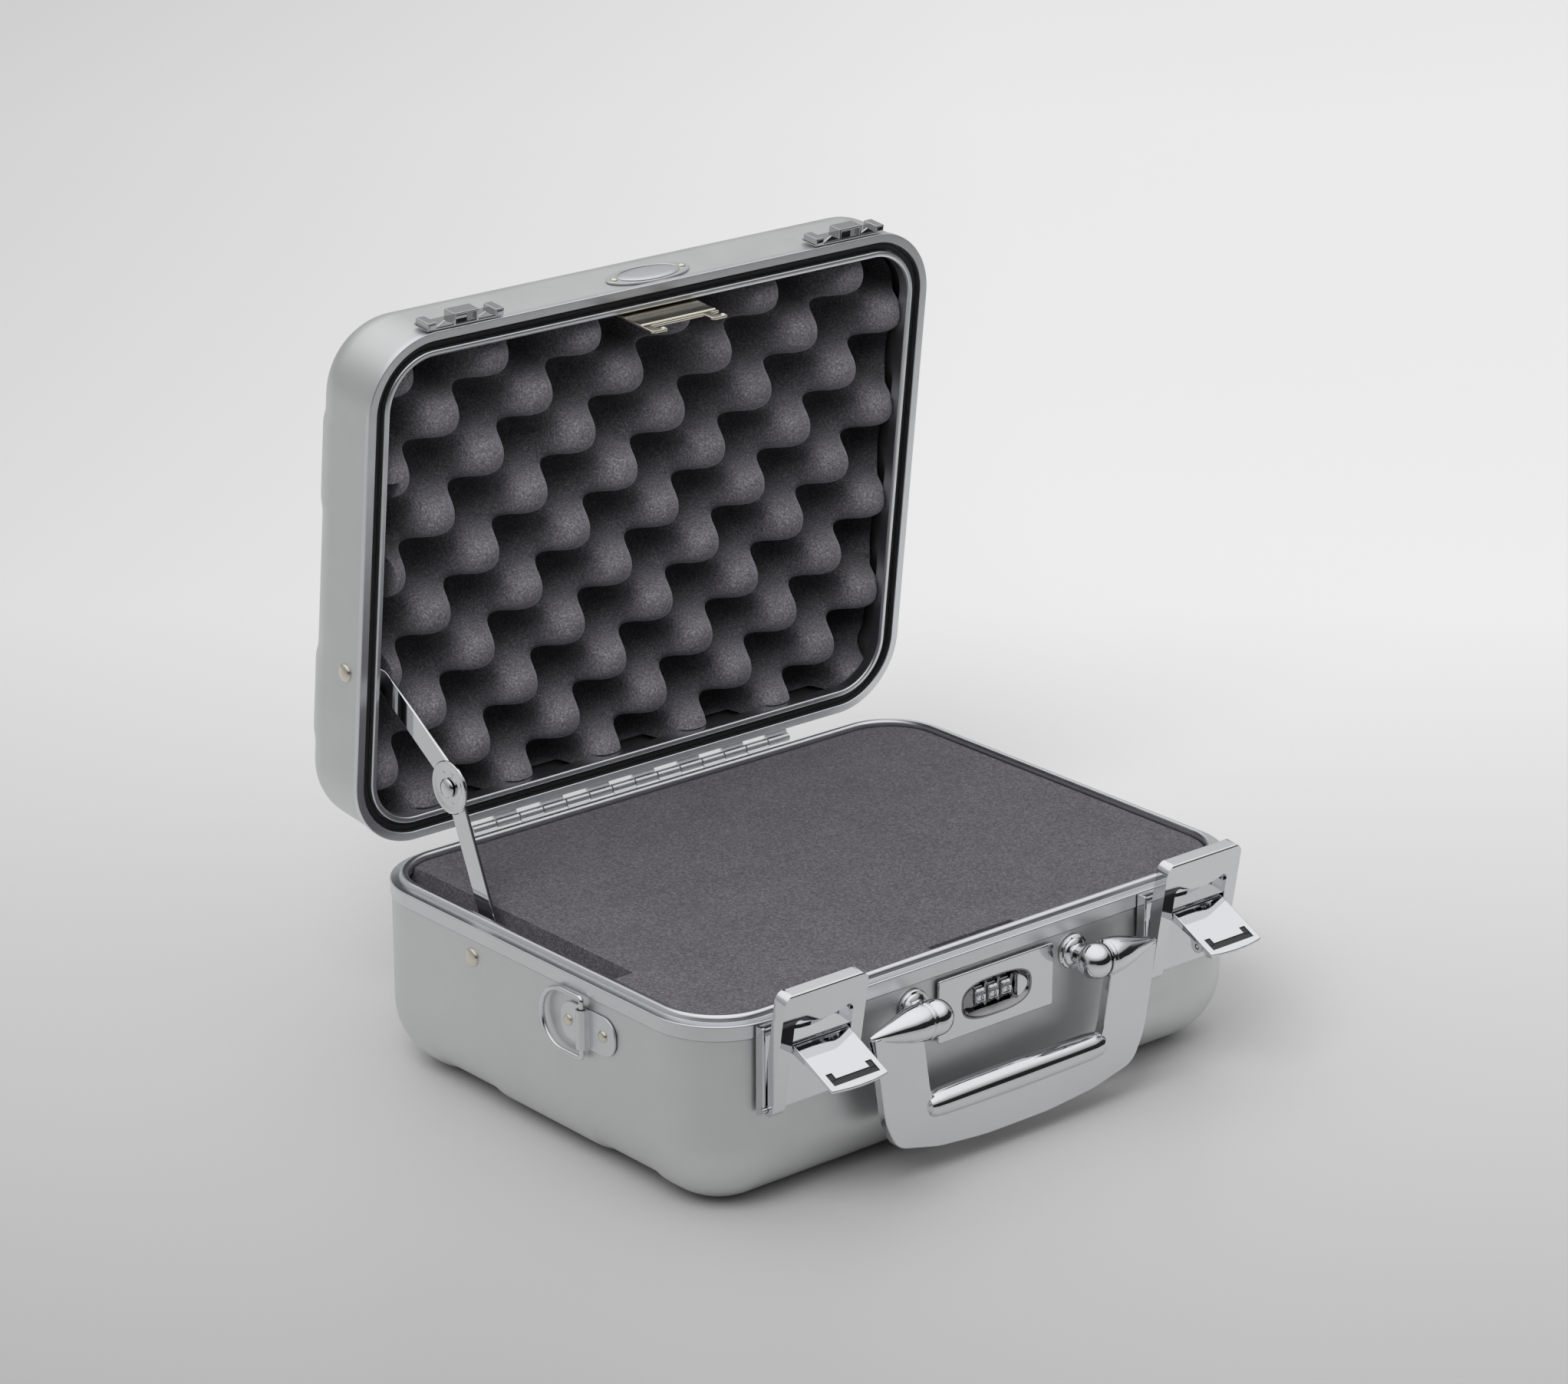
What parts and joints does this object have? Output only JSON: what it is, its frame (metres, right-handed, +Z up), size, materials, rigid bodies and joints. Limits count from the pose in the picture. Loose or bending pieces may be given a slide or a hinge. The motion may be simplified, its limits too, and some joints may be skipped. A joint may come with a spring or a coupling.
{
  "type": "hard-shell aluminium equipment case",
  "caption": "Open hard-shell aluminium equipment case with foam lining, draw latches, a combination lock, a folding handle and an elbow stay.",
  "frame": {"origin": "Middle of the flat underside of the base, on the surface the case stands on.", "axes": "+Z up, +Y from the front with the latches and handle to the back with the hinge, +X to the right seen from the front."},
  "size_m": [0.3674, 0.3652, 0.3819],
  "materials": {
    "satin_aluminium": "satin anodised sheet",
    "bright_aluminium": "bright brushed extrusion",
    "chrome_plate": "polished chrome plate",
    "nickel_plate": "dull nickel plate",
    "gasket_rubber": "matte black",
    "base_foam_grey": "flat charcoal open-cell foam",
    "lid_foam_grey": "convoluted charcoal open-cell foam"
  },
  "bodies": {
    "base": {"base_shell": "satin_aluminium", "base_frame": "bright_aluminium", "base_foam": "base_foam_grey", "hinge_base_leaf": "chrome_plate", "hinge_pin": "nickel_plate", "hinge_base_rivet_1": "chrome_plate", "hinge_base_rivet_2": "chrome_plate", "hinge_base_rivet_3": "chrome_plate", "lock_plate": "chrome_plate", "lock_body": "nickel_plate", "lock_axle": "nickel_plate", "handle_post_left": "chrome_plate", "handle_post_right": "chrome_plate", "latch_tray_left": "chrome_plate", "latch_tray_right": "chrome_plate", "latch_pin_left": "chrome_plate", "latch_pin_right": "chrome_plate", "stay_base_rivet": "chrome_plate", "ring_plate_left": "chrome_plate", "ring_plate_right": "chrome_plate", "ring_rivet_left_back": "chrome_plate", "ring_rivet_left_front": "chrome_plate", "ring_rivet_right_back": "chrome_plate", "ring_rivet_right_front": "chrome_plate"},
    "lid": {"lid_shell": "satin_aluminium", "lid_frame": "bright_aluminium", "lid_gasket": "gasket_rubber", "lid_foam": "lid_foam_grey", "hinge_lid_leaf": "chrome_plate", "hinge_lid_rivet_1": "chrome_plate", "hinge_lid_rivet_2": "chrome_plate", "hinge_lid_rivet_3": "chrome_plate", "lid_catch_left": "chrome_plate", "lid_catch_right": "chrome_plate", "badge": "bright_aluminium", "badge_pin_left": "bright_aluminium", "badge_pin_right": "bright_aluminium", "lock_keeper": "nickel_plate", "stay_lid_rivet": "chrome_plate"},
    "stay_lower": {"stay_lower_link": "chrome_plate", "stay_friction_disc": "chrome_plate", "stay_elbow_rivet": "chrome_plate"},
    "stay_upper": {"stay_upper_link": "chrome_plate"},
    "latch_lever_body_left": {"latch_lever_left": "chrome_plate", "latch_tab_pin_left": "chrome_plate"},
    "latch_lever_body_right": {"latch_lever_right": "chrome_plate", "latch_tab_pin_right": "chrome_plate"},
    "latch_tab_body_left": {"latch_tab_left": "chrome_plate"},
    "latch_tab_body_right": {"latch_tab_right": "chrome_plate"},
    "carrying_handle": {"handle": "chrome_plate"},
    "dial_1": {"number_wheel_1": "chrome_plate"},
    "dial_2": {"number_wheel_2": "chrome_plate"},
    "dial_3": {"number_wheel_3": "chrome_plate"},
    "lock_slide_body": {"lock_slide": "chrome_plate"},
    "ring_left": {"strap_ring_left": "chrome_plate"},
    "ring_right": {"strap_ring_right": "chrome_plate"}
  },
  "joints": [
    {"name": "lid_hinge", "type": "hinge", "parent": "base", "child": "lid", "pos_m": [0, 0.14, 0.1006], "axis": [1, 0, 0], "range_deg": [0, 84]},
    {"name": "stay_foot", "type": "hinge", "parent": "base", "child": "stay_lower", "pos_m": [-0.165, 0.044, 0.0826], "axis": [1, 0, 0], "range_deg": [-0.2, 105.2]},
    {"name": "stay_elbow", "type": "hinge", "parent": "stay_lower", "child": "stay_upper", "pos_m": [-0.162, 0.0765, 0.1575], "axis": [1, 0, 0], "range_deg": [-125.2, 0.2]},
    {"name": "latch_lever_left_hinge", "type": "hinge", "parent": "base", "child": "latch_lever_body_left", "pos_m": [-0.122, -0.1407, 0.058], "axis": [1, 0, 0], "range_deg": [-9, 80]},
    {"name": "latch_tab_left_hinge", "type": "hinge", "parent": "latch_lever_body_left", "child": "latch_tab_body_left", "pos_m": [-0.122, -0.14729, 0.08936], "axis": [1, 0, 0], "range_deg": [0, 73]},
    {"name": "latch_lever_right_hinge", "type": "hinge", "parent": "base", "child": "latch_lever_body_right", "pos_m": [0.122, -0.1407, 0.058], "axis": [1, 0, 0], "range_deg": [-9, 80]},
    {"name": "latch_tab_right_hinge", "type": "hinge", "parent": "latch_lever_body_right", "child": "latch_tab_body_right", "pos_m": [0.122, -0.14729, 0.08936], "axis": [1, 0, 0], "range_deg": [0, 73]},
    {"name": "handle_hinge", "type": "hinge", "parent": "base", "child": "carrying_handle", "pos_m": [0, -0.1505, 0.0805], "axis": [-1, 0, 0], "range_deg": [-8, 130]},
    {"name": "dial_1_spin", "type": "hinge", "parent": "base", "child": "dial_1", "pos_m": [-0.0084, -0.1303, 0.0734], "axis": [1, 0, 0], "continuous": true},
    {"name": "dial_2_spin", "type": "hinge", "parent": "base", "child": "dial_2", "pos_m": [0, -0.1303, 0.0734], "axis": [1, 0, 0], "continuous": true},
    {"name": "dial_3_spin", "type": "hinge", "parent": "base", "child": "dial_3", "pos_m": [0.0084, -0.1303, 0.0734], "axis": [1, 0, 0], "continuous": true},
    {"name": "lock_slide_travel", "type": "slide", "parent": "base", "child": "lock_slide_body", "axis": [-1, 0, 0], "range_m": [0, 0.002]},
    {"name": "ring_left_hinge", "type": "hinge", "parent": "base", "child": "ring_left", "pos_m": [-0.1806, -0.0455, 0.076], "axis": [0, 0, 1], "range_deg": [0, 175]},
    {"name": "ring_right_hinge", "type": "hinge", "parent": "base", "child": "ring_right", "pos_m": [0.1806, -0.0455, 0.076], "axis": [0, 0, -1], "range_deg": [0, 175]}
  ],
  "couplings": [
    {"joint": "stay_foot", "follows": "lid_hinge", "ratio": 1.2476},
    {"joint": "stay_elbow", "follows": "lid_hinge", "ratio": -1.4849}
  ]
}
